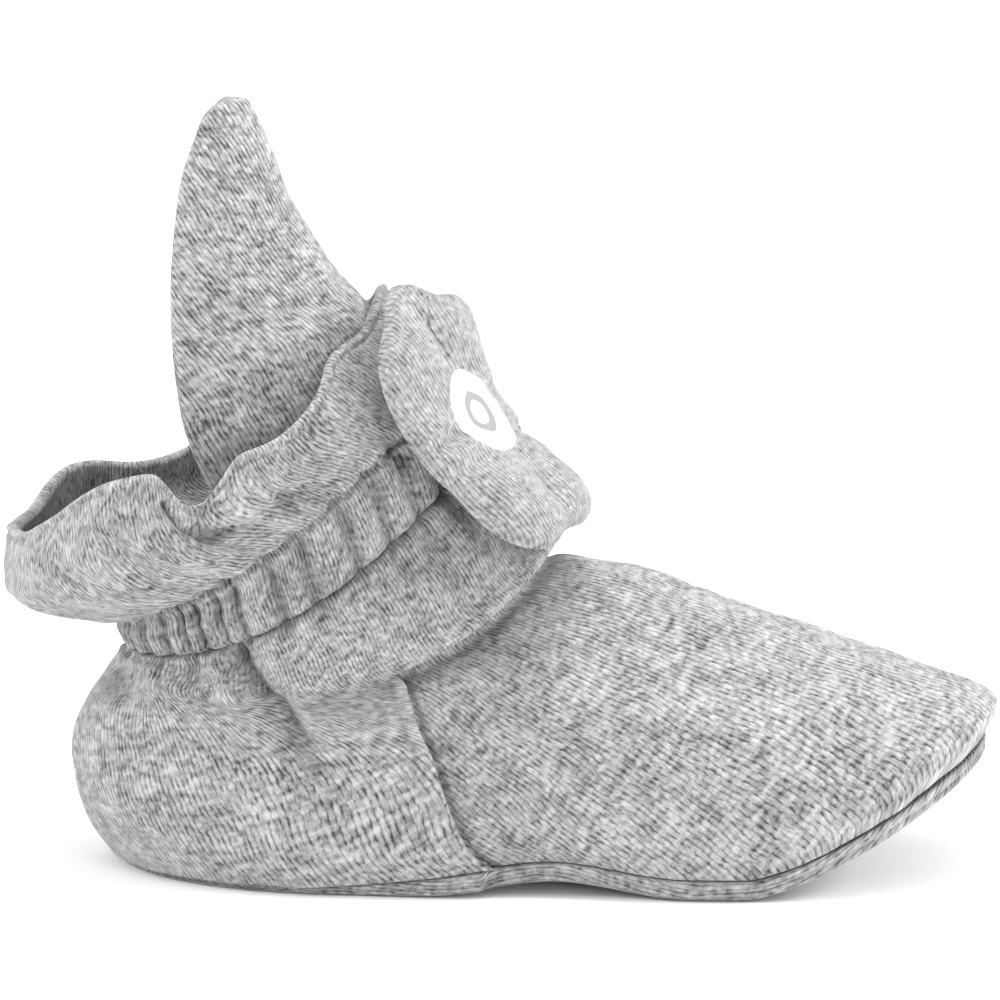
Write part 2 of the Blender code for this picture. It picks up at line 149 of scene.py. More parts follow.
# Soft cloth, finer than the solids
# Valleys between the puffs of the gathered band, as angles from the toe.
PLEATS = (
    (-170.0, -159.0, -147.9, -136.5, -128.3, -121.9, -114.0, -107.5, -94.8, -84.3, -69.8, -58.4)
    + (-47.0, -36.0, -24.0, -13.0, -2.0, 9.0, 21.0, 31.0, 43.0, 55.0, 64.0, 77.0, 88.0, 96.0)
    + (108.0, 117.0, 126.0, 138.0, 147.0, 158.0, 168.0, 179.0)
)
PUFF_HEIGHT = 1.0
PUFF_FLATNESS = 0.6
VALLEY_DEPTH = 1.1
VALLEY_WIDTH = 0.55
BAND_MM_PER_DEGREE = 0.37
PLEAT_DEPTH = 0.7  # of the wider pleats beyond the band
PLEAT_WIDTH = 1.1
STITCH_GROOVE = 1.25
STITCH_GROOVE_ROWS = 0.085
STITCH_GROOVE_SHARES = (0.5, 0.8, 0.4)  # everywhere, more of it in a valley, and more at each pinch
PINCHES = 3  # small gathers in each puff, along the stitches
GATHERS_DEPTH = 1.7  # the most that valleys, pleats and grooves reach in together
THINNEST_CLOTH = 0.3  # the lining gives way where a crease would leave less
THINNEST_TOE_CLOTH = 0.6
VALLEY_ENDS = (-0.05, 0.35)  # rows inside the band's edges over which the valleys come in
SMALLEST_PLEAT = 0.45  # size of a pleat without width, beside 1 for a wide one
WIDE_PLEAT = 12.0  # degrees
PLEAT_REACH_DOWN = 0.8  # rows over which the pleats run out under the band
PLEAT_REACH_UP = 0.9  # and over it

# Rolled edges and seams: (height, distance of its middle from the edge, width)
FLAP_LIFT = (2.0, 0.0, 3.2)
FLAP_LIFT_ROWS = (6.6, 7.5)
SEAM_BEAD = (0.12, 0.9, 0.6)
SEAM_LINE = (-0.28, 1.8, 0.26)
SEAM_LINE_ROWS = (6.6, 7.2)
LAP_REACH = (2.0, 4.5)  # from the edge, where the heel cloth's back goes from the toe cloth to the lining
FRILL_SWELL = (0.5, 11.4, 0.3)  # in rows
HEM_GROOVE = (-0.32, 1.25, 0.26)
HEM_BEAD = (0.08, 0.6, 0.5)
FLAP_TRENCHES = ((-1.2, 0.0, 3.0), (-1.1, 0.0, 0.9))
SEAM_TRENCH = (-0.9, 0.0, 0.8)

# Soft unevenness of each piece: (height, size, seed)
HEEL_LUMPS = ((0.28, 11.0, 3), (0.07, 3.6, 4))
FRILL_LUMPS = ((0.5, 13.0, 7), (0.12, 4.5, 8))
VAMP_LUMPS = ((0.30, 14.0, 11), (0.08, 4.0, 12))
TONGUE_LUMPS = ((0.30, 12.0, 21), (0.07, 4.0, 22))
TAB_LUMPS = ((0.22, 8.0, 31), (0.08, 3.4, 32))
LUMP_WAVES = 16

# Troughs (negative depth) and ridges in the cloth, seen from the side:
# (name, side, width, depth, path of (x, z) points)
CREASE_FADE = 0.8  # of its depth is gone at the end of its path
CREASE_FULL_AT = 6.0  # from the shoe's middle plane, where the creases are at their full depth
HEEL_CREASES = (
    ("long trough from the band", -1, 1.9, -2.2, ((21.0, 31.2), (27.0, 24.6), (31.8, 18.4), (35.6, 13.4))),
    ("bottom of the long trough", -1, 0.8, -1.7, ((21.4, 30.6), (27.4, 24.0), (32.2, 17.6))),
    ("ridge before it", -1, 1.8, 1.1, ((29.0, 28.0), (32.4, 23.0), (37.4, 16.6))),
    ("ridge behind it", -1, 1.6, 1.1, ((18.5, 30.0), (22.0, 25.0), (25.5, 20.0))),
    ("heel hollow", -1, 2.8, -1.9, ((6.6, 25.6), (10.4, 21.0))),
    ("upright ridge", -1, 1.7, 0.9, ((12.4, 31.0), (12.7, 24.0), (14.2, 17.5))),
    ("hollow under the band", -1, 1.7, -2.2, ((14.9, 28.2), (17.4, 25.6))),
    ("tuck beside it", -1, 0.7, -1.5, ((21.6, 31.0), (18.8, 27.4), (17.8, 24.6))),
    ("tuck by the heel", -1, 0.7, -1.6, ((11.4, 29.6), (11.8, 25.0), (13.4, 19.0))),
    ("flap fold", -1, 1.2, -1.7, ((41.0, 28.4), (37.5, 30.2))),
    ("soft dent low on the heel", -1, 4.0, -0.7, ((20.0, 9.0), (30.0, 8.0))),
    ("long trough, inner side", 1, 2.0, -1.3, ((17.5, 31.0), (22.0, 25.0), (27.5, 18.5))),
    ("ridge, inner side", 1, 1.6, 0.7, ((24.5, 30.0), (29.5, 23.0), (33.0, 18.0))),
    ("heel hollow, inner side", 1, 3.2, -0.8, ((8.0, 25.0), (11.5, 19.5))),
    ("ridge by the heel, inner side", 1, 1.3, 0.7, ((13.5, 30.0), (14.5, 22.0))),
)
VAMP_CREASES = (
    ("dent by the seam, high", -1, 1.3, -1.0, ((49.8, 24.0), (54.9, 25.9))),
    ("dent by the seam, middle", -1, 1.1, -0.9, ((45.6, 19.4), (50.3, 20.2))),
    ("dent by the seam, low", -1, 1.4, -1.1, ((47.2, 14.2), (51.5, 12.6), (60.5, 13.2))),
    ("swell over it", -1, 2.4, 0.7, ((52.0, 16.8), (60.0, 17.2))),
    ("dent over the ball", -1, 2.4, -0.6, ((72.0, 21.0), (84.0, 20.0))),
    ("dent by the toe", -1, 2.0, -0.5, ((96.0, 20.5), (104.0, 22.5))),
    ("dents, inner side", 1, 1.6, -0.5, ((47.0, 15.5), (56.0, 12.6), (64.0, 13.4))),
    ("dent by the seam, inner side", 1, 1.4, -0.4, ((48.5, 23.0), (55.0, 24.6))),
    ("dent over the ball, inner side", 1, 2.6, -0.35, ((74.0, 19.0), (86.0, 19.6))),
)
FRILL_CREASES = (
    (
        *("tuck under the front part", -1, 0.7, -2.8),
        ((13.4, 51.2), (15.2, 48.4), (18.6, 47.2), (22.0, 47.7), (26.3, 47.9)),
    ),
    ("swell over the tuck", -1, 2.2, 1.5, ((19.0, 50.6), (25.0, 51.8))),
    ("swell under the tuck", -1, 1.9, 1.2, ((15.0, 44.2), (20.5, 44.0))),
    ("hollow over the stitches", -1, 1.3, -1.9, ((28.2, 51.0), (32.2, 52.6))),
    ("long hollow of the back part", -1, 1.8, -1.6, ((5.6, 45.4), (9.0, 41.6), (12.4, 39.0))),
    ("ridge before it", -1, 1.4, 1.1, ((10.2, 47.4), (12.2, 42.0))),
    ("swell by the rim", -1, 3.2, 0.6, ((-2.0, 42.0), (3.0, 45.0))),
    ("hollow, inner side", 1, 1.8, -1.2, ((24.0, 50.0), (28.0, 55.0))),
    ("ridge, inner side", 1, 1.8, 0.9, ((16.0, 42.0), (19.0, 49.0))),
    ("long hollow, inner side", 1, 2.0, -1.1, ((8.0, 38.5), (4.5, 45.0))),
)
TONGUE_CREASES = (
    ("bent crease over the frill", -1, 0.9, -0.7, ((28.0, 73.4), (31.0, 74.6), (34.4, 73.6))),
    ("hollow behind the frill", -1, 2.6, -1.4, ((25.0, 63.5), (30.5, 67.0))),
    ("hollow, inner side", 1, 2.4, -0.9, ((26.0, 66.0), (31.0, 71.0))),
)

# Mesh: places where the spacing changes, and the steps from each place to the next
HEEL_ROWS = ((0.0, 8), (0.25, 44), (6.7, 5), (7.0, 16), (7.35, 36), (9.0, 0))
HEEL_COLUMNS = ((0.0, 120), (99.0, 2), (100.0, 12), (103.2, 140), (180.0, 0))
VAMP_ROWS = ((0.0, 10), (0.3, 80), (6.5, 30), (7.8, 0))
VAMP_COLUMNS = ((0.0, 140), (94.0, 36), (107.0, 0))
FRILL_ROWS = ((9.0, 42), (11.2, 34), (14.4, 9), (14.86, 8), (15.0, 0))
FRILL_COLUMNS = ((0.0, 250), (180.0, 0))
PAD_COLUMNS = 264
TONGUE_ROWS = ((0.0, 110), (8.0, 0))
TONGUE_TIP_STEPS = 14
TONGUE_ACROSS_STEPS = 96
TAB_SPOKES = 240
TAB_RINGS = 44

ROLL = 0.9  # how far from its edge a folded cloth edge is rounded
SOLE_EDGE_ROLL = 0.25
HEM_ROLL = 0.8
TONGUE_ROLL = 1.1
EDGE_SHARE = 0.14  # of the cloth's thickness is left at the very edge

# Wale lines of the jersey
KNIT_LAYER = "knit"
ANKLE_WALES = 0.62  # millimetres of cloth for each degree round the ankle
FOOT_WALES = 0.66  # and round the foot
HEEL_HEIGHT = 28.0  # of cloth from the band to the sole
VAMP_RIDGE_SLOPE = 37.0
VAMP_RIDGE_TOP = (62.8, 42.6)
VAMP_GIRTH_RADIUS = 25.0


def smooth_step(low, high, value):
    """0 below low, 1 above high, and smooth between."""
    share = np.clip((value - low) / (high - low), 0.0, 1.0)
    return share * share * (3.0 - 2.0 * share)


def bell(value, width):
    """1 where value is 0, falling away on both sides."""
    return np.exp(-((value / width) ** 2))


def ridge(distance, shape):
    """A ridge, or a groove if its height is negative. shape is its height, place and width."""
    height, middle, width = shape
    return height * bell(distance - middle, width)


def curve_through(values, place):
    """Catmull-Rom curve through evenly spaced values, at places from 0 to len(values) - 1."""
    values = np.asarray(values, dtype=float)
    place = np.asarray(place, dtype=float)
    last = len(values) - 1
    first = np.clip(place.astype(int), 0, last - 1)
    share = place - first
    p1, p2 = values[first], values[first + 1]
    p0 = np.where(first > 0, values[np.maximum(first - 1, 0)], 2.0 * p1 - p2)
    p3 = np.where(first + 2 <= last, values[np.minimum(first + 2, last)], 2.0 * p2 - p1)
    bend = 2.0 * p0 - 5.0 * p1 + 4.0 * p2 - p3
    twist = -p0 + 3.0 * p1 - 3.0 * p2 + p3
    return 0.5 * (2.0 * p1 + (p2 - p0) * share + bend * share**2 + twist * share**3)


def table_at(rows, columns, place):
    """The table's numbers between its rows, as a dict of arrays."""
    numbers = [c for c in columns if c != "name"]
    skip = len(columns) - len(numbers)
    return {c: curve_through([row[i + skip] for row in rows], place) for i, c in enumerate(numbers)}


def stations(stops):
    """Places from a table of (place, steps to the next place)."""
    places = []
    for (place, steps), (following, _) in zip(stops, stops[1:]):
        places.extend(place + (following - place) * i / steps for i in range(steps))
    places.append(stops[-1][0])
    return np.array(places)


def both_sides(stops):
    """Stations from the toe round both sides to the heel, from -180 up to but without 180."""
    half = stations(stops)
    return np.concatenate((-half[:0:-1], half[:-1]))


def unit(vectors):
    return vectors / np.linalg.norm(vectors, axis=-1, keepdims=True)


def closed(grid):
    """A grid with its first column once more at the end, so that it goes all the way round."""
    return np.concatenate((grid, grid[:, :1]), axis=1)


def steps_between(points):
    """Running length down each column of a grid of points."""
    lengths = np.linalg.norm(np.diff(points, axis=0), axis=-1)
    return np.concatenate((np.zeros((1, points.shape[1])), np.cumsum(lengths, axis=0)))


def lumps(points, size, seed):
    """Soft uneven swells, about from -1 to 1 and about size millimetres long."""
    random = np.random.default_rng(seed)
    directions = unit(random.normal(size=(LUMP_WAVES, 3)))
    lengths = size * random.uniform(0.7, 1.5, LUMP_WAVES)
    phases = random.uniform(0.0, 2.0 * math.pi, LUMP_WAVES)
    total = np.zeros(points.shape[:-1])
    for direction, length, phase in zip(directions, lengths, phases):
        total += np.sin(points @ direction * (2.0 * math.pi / length) + phase)
    return total / math.sqrt(2.0 * LUMP_WAVES)


def uneven(points, table):
    """All the lumps of a table together."""
    return sum(height * lumps(points, size, seed) for height, size, seed in table)


def distance_to(surface, other):
    return np.linalg.norm(surface - other, axis=-1)


def foot_width(place):
    return curve_through(FOOT_OUTLINE, 0.5 * (place + 1.0) * (len(FOOT_OUTLINE) - 1))


def toe_spring(x):
    share = np.maximum(0.0, (x - TOE_SPRING_START) / (FOOT_LENGTH - TOE_SPRING_START))
    return TOE_SPRING * share**TOE_SPRING_POWER


def heel_drop(x):
    return HEEL_DROP * (1.0 - smooth_step(HEEL_DROP_START, HEEL_DROP_END, x))


def arch(x):
    middle = 0.5 * (ARCH_START + ARCH_END)
    return ARCH_HEIGHT * smooth_step(ARCH_START, middle, x) * (1.0 - smooth_step(middle, ARCH_END, x))


def angle_between(a, b):
    return np.abs((a - b + 180.0) % 360.0 - 180.0)


def frill_shape(angle, row):
    """How far the frill's folds move a point out and up."""
    share = smooth_step(ROW["band_high"], ROW["rim"], row)
    out = up = 0.0
    for centre, width, fold_out, fold_up in FRILL_FOLDS:
        near = bell(angle_between(angle, centre), width)
        out = out + fold_out * near
        up = up + fold_up * near
    return out * share, up * share


def upper_surface(angle, row):
    """Points of the upper's surface: angle in degrees from the toe, row in the table of rings."""
    angle, row = np.broadcast_arrays(angle, row)
    ring = table_at(RINGS, RING_COLUMNS, row)
    across, along = np.sin(np.radians(angle)), np.cos(np.radians(angle))
    share = 0.5 * (1.0 + along)
    x = ring["back_x"] + (ring["front_x"] - ring["back_x"]) * share
    level_front = ring["front_z"] - ring["spring"] * toe_spring(ring["front_x"])
    z = ring["back_z"] + (level_front - ring["back_z"]) * share ** ring["power"]
    z = z + ring["spring"] * toe_spring(x)
    z = z + np.maximum(0.0, 1.0 - row) * (arch(x) - heel_drop(x))
    half_width = ring["half_width"] * (1.0 - ring["foot"] + ring["foot"] * foot_width(along))
    out, up = frill_shape(angle, row)
    return np.stack((x + out * along, across * (half_width + out), z + up), axis=-1)


def upper_normal(angle, row):
    """The outward directions of the upper's surface."""
    angle, row = np.broadcast_arrays(angle, row)
    before, after = np.maximum(0.0, row - 0.1), np.minimum(len(RINGS) - 1, row + 0.1)
    round_it = upper_surface(angle + 1.0, row) - upper_surface(angle - 1.0, row)
    up_it = upper_surface(angle, after) - upper_surface(angle, before)
    normal = unit(np.cross(round_it, up_it))
    normal[..., 2] *= smooth_step(0.0, 1.0, row)
    return unit(normal)


def seam_angle(row):
    return curve_through([ring[RING_COLUMNS.index("seam")] for ring in RINGS], row)


def column_angle(column, row):
    """The angle of a mesh column: the columns at LAP_ANGLE on both sides follow the side seams."""
    seam = seam_angle(row)
    turned = np.abs(column)
    before = turned * seam / LAP_ANGLE
    behind = 180.0 - (180.0 - turned) * (180.0 - seam) / (180.0 - LAP_ANGLE)
    return np.sign(column) * np.where(turned <= LAP_ANGLE, before, behind)


def lap_height(angle, row):
    """How far the heel and ankle cloth stands over the toe cloth."""
    turned = np.abs(angle)
    seam = seam_angle(row)
    behind = smooth_step(seam + FLAP_FADE[0], seam + FLAP_FADE[1], turned)
    flap = FLAP_STEP + (LAP_STEP - FLAP_STEP) * behind
    above = smooth_step(ROW["lap_edge"] - FLAP_RISE, ROW["lap_edge"], row)
    over = LAP_STEP + (flap - LAP_STEP) * above
    return over * (1.0 - smooth_step(ROW["ankle"], ROW["band_low"], row))


def pressed(points, creases):
    """How far the creases of a table move points out. Each one fades towards the end of its path."""
    total = np.zeros(points.shape[:-1])
    seen = points[..., (0, 2)]
    for _, side, width, depth, path in creases:
        nearest = np.full(points.shape[:-1], np.inf)
        gone = np.zeros(points.shape[:-1])
        legs = len(path) - 1
        for leg, (start, end) in enumerate(zip(np.array(path[:-1]), np.array(path[1:]))):
            share = np.clip((seen - start) @ (end - start) / ((end - start) @ (end - start)), 0.0, 1.0)
            offset = np.linalg.norm(seen - (start + share[..., None] * (end - start)), axis=-1)
            gone = np.where(offset < nearest, (leg + share) / legs, gone)
            nearest = np.minimum(nearest, offset)
        fade = 1.0 - CREASE_FADE * gone**2
        on_side = smooth_step(0.0, CREASE_FULL_AT, side * points[..., 1])
        total += depth * fade * bell(nearest, width) * on_side
    return total


def pleat_at(angle):
    """Where an angle is between the valleys of its pleat, from 0 to 1, and the pleat's width in degrees."""
    bounds = np.array(PLEATS + (PLEATS[0] + 360.0,))
    turned = (angle - bounds[0]) % 360.0 + bounds[0]
    number = np.clip(np.searchsorted(bounds, turned, side="right") - 1, 0, len(PLEATS) - 1)
    width = bounds[number + 1] - bounds[number]
    return (turned - bounds[number]) / width, width


def gathers(angle, row):
    """The band's puffs, the pleats that run out from it and the grooves of its two rows of stitches."""
    low, high = ROW["band_low"], ROW["band_high"]
    share, width = pleat_at(angle)
    from_valley = np.minimum(share, 1.0 - share) * width * BAND_MM_PER_DEGREE
    start, full = VALLEY_ENDS
    in_band = smooth_step(low + start, low + full, row) * (1.0 - smooth_step(high - full, high - start, row))
    fade = np.where(row < low, np.exp((row - low) / PLEAT_REACH_DOWN), 1.0)
    fade = np.where(row > high, np.exp((high - row) / PLEAT_REACH_UP), fade)
    size = SMALLEST_PLEAT + (1.0 - SMALLEST_PLEAT) * width / WIDE_PLEAT
    puff = np.clip(np.sin(math.pi * share), 0.0, 1.0) ** PUFF_FLATNESS
    valley = bell(from_valley, VALLEY_WIDTH)
    height = PUFF_HEIGHT * size * puff * fade - VALLEY_DEPTH * valley * in_band
    height = height - PLEAT_DEPTH * size * bell(from_valley, PLEAT_WIDTH) * fade
    groove = bell(row - low, STITCH_GROOVE_ROWS) + bell(row - high, STITCH_GROOVE_ROWS)
    pinch = 0.5 + 0.5 * np.cos(PINCHES * 2.0 * math.pi * share)
    everywhere, in_valley, at_pinch = STITCH_GROOVE_SHARES
    height = height - STITCH_GROOVE * groove * (everywhere + in_valley * valley + at_pinch * pinch)
    return np.maximum(height, -GATHERS_DEPTH)


def rounded(distance, reach=ROLL):
    """Share of the cloth's thickness at a distance from its edge, so that the edge is round."""
    inward = np.clip(1.0 - distance / reach, 0.0, 1.0)
    return np.maximum(EDGE_SHARE, np.sqrt(1.0 - inward**2))


def to_frame(points):
    """Points in millimetres from the back of the heel, as metres from the part's origin."""
    return (points - np.array((HEEL_SEAT_X, 0.0, 0.0))) * MM


def add_mesh(name, points, faces, corners, knit):
    """A smooth mesh whose face corners take their place in the cloth from the knit's grid."""
    used, numbers = np.unique(faces, return_inverse=True)
    mesh = bpy.data.meshes.new(name)
    mesh.from_pydata(to_frame(points[used]).tolist(), [], numbers.reshape(faces.shape).tolist())
    layer = mesh.uv_layers.new(name=KNIT_LAYER)
    layer.data.foreach_set("uv", knit.reshape(-1, 2)[corners.ravel()].ravel())
    mesh.shade_smooth()
    made = bpy.data.objects.new(name, mesh)
    bpy.context.scene.collection.objects.link(made)
    return made


def rim_edges(keep, wraps):
    """Grid edges where kept faces end, as (row, column, row, column), in the order that closes the cloth."""
    across = np.pad(keep, ((0, 0), (1, 1)), mode="wrap" if wraps else "constant")
    along = np.pad(keep, ((1, 1), (0, 0)))
    edges = []
    for open_here, start, end in (
        (keep & ~along[:-2], (0, 1), (0, 0)),
        (keep & ~along[2:], (1, 0), (1, 1)),
        (keep & ~across[:, :-2], (0, 0), (1, 0)),
        (keep & ~across[:, 2:], (1, 1), (0, 1)),
    ):
        r, c = np.nonzero(open_here)
        edges.append(np.stack((r + start[0], c + start[1], r + end[0], c + end[1]), axis=-1))
    return np.concatenate(edges)


def add_cloth(name, outer, inner, knit, keep=None, wraps=False):
    """Closed cloth between an outer and an inner grid of points. keep says which of the grid's faces it has,
    and knit has a column more than the grid where the cloth wraps round."""
    rows, columns = outer.shape[:2]
    if keep is None:
        keep = np.ones((rows - 1, columns if wraps else columns - 1), dtype=bool)
    r, c = np.nonzero(keep)
    quads = np.stack((r, c, r, c + 1, r + 1, c + 1, r + 1, c), axis=-1).reshape(-1, 4, 2)
    sheet = np.zeros(quads.shape[:2], dtype=int)
    rim = rim_edges(keep, wraps)
    ends = np.stack((rim[:, :2], rim[:, 2:], rim[:, 2:], rim[:, :2]), axis=1)
    rim_sheet = np.tile((0, 0, 1, 1), (len(ends), 1))
    corners = np.concatenate((quads, quads[:, ::-1], ends))
    sheets = np.concatenate((sheet, sheet + 1, rim_sheet))
    vertices = sheets * rows * columns + corners[..., 0] * columns + corners[..., 1] % columns
    places = corners[..., 0] * knit.shape[1] + corners[..., 1]
    points = np.concatenate((outer.reshape(-1, 3), inner.reshape(-1, 3)))
    return add_mesh(name, points, vertices, places, knit)


def add_shell(name, grid, knit):
    """A closed form from loops of points. The first and last loop are closed by strips across them."""
    rows, columns = grid.shape[:2]
    r, c = np.mgrid[0 : rows - 1, 0:columns]
    side = np.stack((r, c, r, c + 1, r + 1, c + 1, r + 1, c), axis=-1).reshape(-1, 4, 2)
    step = np.arange(columns // 2 - 1)
    ends = []
    for row, order in ((0, -1), (rows - 1, 1)):
        loop = np.stack((step, step + 1, columns - 2 - step, columns - 1 - step), axis=-1)
        ends.append(np.stack((np.full_like(loop, row), loop), axis=-1)[:, ::order])
    corners = np.concatenate([side] + ends)
    vertices = corners[..., 0] * columns + corners[..., 1] % columns
    places = corners[..., 0] * knit.shape[1] + corners[..., 1]
    return add_mesh(name, grid.reshape(-1, 3), vertices, places, knit)


def cloth_grid(columns, rows):
    """Angle, surface points and outward directions at the columns and rows of a mesh."""
    angle = column_angle(columns, rows)
    return angle, upper_surface(angle, rows), upper_normal(angle, rows)


def two_faces(surface, normal, face, back, thin):
    """The cloth's outer and inner points. thin is the share of its thickness that is left."""
    middle = 0.5 * (face + back)
    outer = surface + normal * (middle + (face - middle) * thin)[..., None]
    inner = surface + normal * (middle + (back - middle) * thin)[..., None]
    return outer, inner


def ankle_knit(angle, surface, row_of_zero):
    """Place in the cloth on heel, ankle and frill: wales run up the leg, and forwards as they come down."""
    length = steps_between(surface)
    length = closed(length - length[row_of_zero])
    below = np.maximum(0.0, -length / HEEL_HEIGHT)
    per_degree = ANKLE_WALES + (FOOT_WALES - ANKLE_WALES) * below
    across = np.concatenate((angle, angle[:, :1] + 360.0), axis=1) * per_degree
    return np.stack((across, length), axis=-1)


def build_heel():
    """The heel part and the ankle's flap, with their rolled edge over the toe part."""
    rows = stations(HEEL_ROWS)[:, None]
    columns = both_sides(HEEL_COLUMNS)[None, :]
    angle, surface, normal = cloth_grid(columns, rows)
    lap = ROW["lap_edge"]
    over_lap = distance_to(surface, upper_surface(angle, lap)) * (rows > lap)
    seam = np.sign(columns) * seam_angle(rows)
    past_seam = distance_to(surface, upper_surface(seam, rows)) * (np.abs(columns) > LAP_ANGLE)
    edge = np.hypot(over_lap, past_seam)
    from_sole = distance_to(surface, upper_surface(angle, 0.0))

    lift = ridge(edge, FLAP_LIFT) * smooth_step(*FLAP_LIFT_ROWS, rows)
    seam_line = ridge(edge, SEAM_LINE) * (1.0 - smooth_step(*SEAM_LINE_ROWS, rows))
    face = FACE + lap_height(angle, rows) + lift + ridge(edge, SEAM_BEAD) + seam_line
    face = face + gathers(angle, rows) + pressed(surface, HEEL_CREASES) + uneven(surface, HEEL_LUMPS)
    over_toe_cloth = 1.0 - smooth_step(*LAP_REACH, edge)
    back = LINING + (FACE + GAP + lift - LINING) * over_toe_cloth
    back = np.minimum(back, face - THINNEST_CLOTH)
    thin = rounded(edge) * rounded(from_sole, SOLE_EDGE_ROLL)
    thin = np.where(rows >= ROW["band_low"], thin * EDGE_SHARE, thin)
    outer, inner = two_faces(surface, normal, face, back, thin)
    knit = ankle_knit(angle, surface, -1)
    column_middle = np.append(0.5 * (columns[0, 1:] + columns[0, :-1]), -180.0)
    row_middle = 0.5 * (rows[1:, 0] + rows[:-1, 0])
    keep = (row_middle[:, None] > lap) | (np.abs(column_middle)[None, :] > LAP_ANGLE)
    return add_cloth("heel_and_flap", outer, inner, knit, keep, wraps=True)


def build_band_and_frill():
    """The gathered elastic band and the frill above it, with its turned hem."""
    rows = stations(FRILL_ROWS)[:, None]
    columns = both_sides(FRILL_COLUMNS)[None, :]
    angle, surface, normal = cloth_grid(columns, rows)
    from_rim = distance_to(surface, upper_surface(angle, ROW["rim"]))
    creases = pressed(surface, FRILL_CREASES)
    flare = smooth_step(ROW["band_high"], ROW["frill_mid"], rows)
    face = FACE + gathers(angle, rows) + creases + flare * uneven(surface, FRILL_LUMPS)
    face = face + ridge(rows, FRILL_SWELL) + ridge(from_rim, HEM_GROOVE) + ridge(from_rim, HEM_BEAD)
    back = LINING + creases + flare * uneven(surface, FRILL_LUMPS[:1])
    back = np.minimum(back, face - THINNEST_CLOTH)
    thin = rounded(from_rim, HEM_ROLL)
    thin = np.where(rows <= ROW["band_low"], thin * EDGE_SHARE, thin)
    outer, inner = two_faces(surface, normal, face, back, thin)
    return add_cloth("band_and_frill", outer, inner, ankle_knit(angle, outer, 0), wraps=True)


def vamp_knit(surface):
    """Place in the cloth on the toe part: wales run from the ankle to the toe, side by side."""
    slope = math.radians(VAMP_RIDGE_SLOPE)
    x = surface[..., 0] - VAMP_RIDGE_TOP[0]
    z = surface[..., 2] - VAMP_RIDGE_TOP[1]
    along = x * math.cos(slope) - z * math.sin(slope)
    rise = x * math.sin(slope) + z * math.cos(slope)
    across = VAMP_GIRTH_RADIUS * np.arctan2(surface[..., 1], rise + VAMP_GIRTH_RADIUS)
    return np.stack((across, -along), axis=-1)


def build_vamp():
    """The toe part, which runs in under the heel part and the flap."""
    rows = stations(VAMP_ROWS)[:, None]
    half = stations(VAMP_COLUMNS)
    columns = np.concatenate((-half[:0:-1], half))[None, :]
    angle, surface, normal = cloth_grid(columns, rows)
    from_sole = distance_to(surface, upper_surface(angle, 0.0))
    from_flap = distance_to(surface, upper_surface(angle, ROW["lap_edge"]))
    seam = np.sign(columns) * seam_angle(rows)
    from_seam = distance_to(surface, upper_surface(seam, rows))
    face = FACE + pressed(surface, VAMP_CREASES) + uneven(surface, VAMP_LUMPS)
    face = face + sum(ridge(from_flap, trench) for trench in FLAP_TRENCHES) + ridge(from_seam, SEAM_TRENCH)
    back = np.minimum(LINING, face - THINNEST_TOE_CLOTH)
    outer, inner = two_faces(surface, normal, face, back, rounded(from_sole, SOLE_EDGE_ROLL))
    return add_cloth("toe_part", outer, inner, vamp_knit(surface))


PAD_SPINE = 0.55  # share of the loop's length that its middle line has
PAD_RINGS = 22
PAD_SLIT = 0.03  # share of its width that is left of the last ring, where the strips close the pad


def foot_point(angle, out, up):
    """Points by the foot's outline: how far outside it, and how far over the sole's underside."""
    edge = upper_surface(angle, 0.0) + upper_normal(angle, 0.0) * np.asarray(out)[..., None]
    x = edge[..., 0]
    return np.stack((x, edge[..., 1], toe_spring(x) + arch(x) + up), axis=-1)


def shrunk(loop, share):
    """A loop drawn in towards the middle line of the foot."""
    middle = loop * (1.0, 0.0, 1.0)
    centre = 0.5 * (loop[:, 0].max() + loop[:, 0].min())
    middle[:, 0] = centre + (loop[:, 0] - centre) * PAD_SPINE
    return loop + (middle - loop) * share


def add_pad(name, sides):
    """A closed pad from loops of points round its side, bottom first. Its flat faces follow the foot."""
    shares = 1.0 - np.linspace(1.0, PAD_SLIT, PAD_RINGS)

    def faces(loop):
        up = loop[:, 2] - toe_spring(loop[:, 0]) - arch(loop[:, 0])
        rings = []
        for share in shares[1:]:
            ring = shrunk(loop, share)
            ring[:, 2] = toe_spring(ring[:, 0]) + arch(ring[:, 0]) + up
            rings.append(ring)
        return rings

    loops = faces(sides[0])[::-1] + sides + faces(sides[-1])
    grid = np.stack(loops)
    knit = closed(grid)[..., (1, 0)]
    first = len(shares) - 1
    side = slice(first, first + len(sides))
    height = closed(steps_between(grid[side]))
    knit[side, :, 0] = knit[first, :, 0] + np.sign(knit[first, :, 0]) * height
    return add_shell(name, grid, knit)


SOLE_LIFT = 0.25  # the sole's side reaches up by this much past its inner face
SOLE_SEAM_RISE = 2.0  # degrees over which the sole widens under the heel part
SOLE_TUCK = 0.3
# The sole's side: (how far out of its face, share of its height)
SOLE_PROFILE = (
    ((-3.2, 0.0), (-1.9, 0.01), (-0.95, 0.06), (-0.35, 0.15), (-0.08, 0.26), (-0.1, 0.36), (-0.25, 0.45))
    + ((-0.4, 0.50), (-0.22, 0.56), (-0.02, 0.66), (0.0, 0.76), (-0.05, 0.86), (-0.15, 0.95), (-0.45, 1.0))
)
# The foot bed's side: (how far out of the upper's lining, height over its underside)
INSOLE_PROFILE = ((-1.8, 0.0), (-0.8, 0.15), (-0.5, 0.5), (-0.5, 1.0), (-0.85, 1.35), (-1.6, INSOLE_THICK))


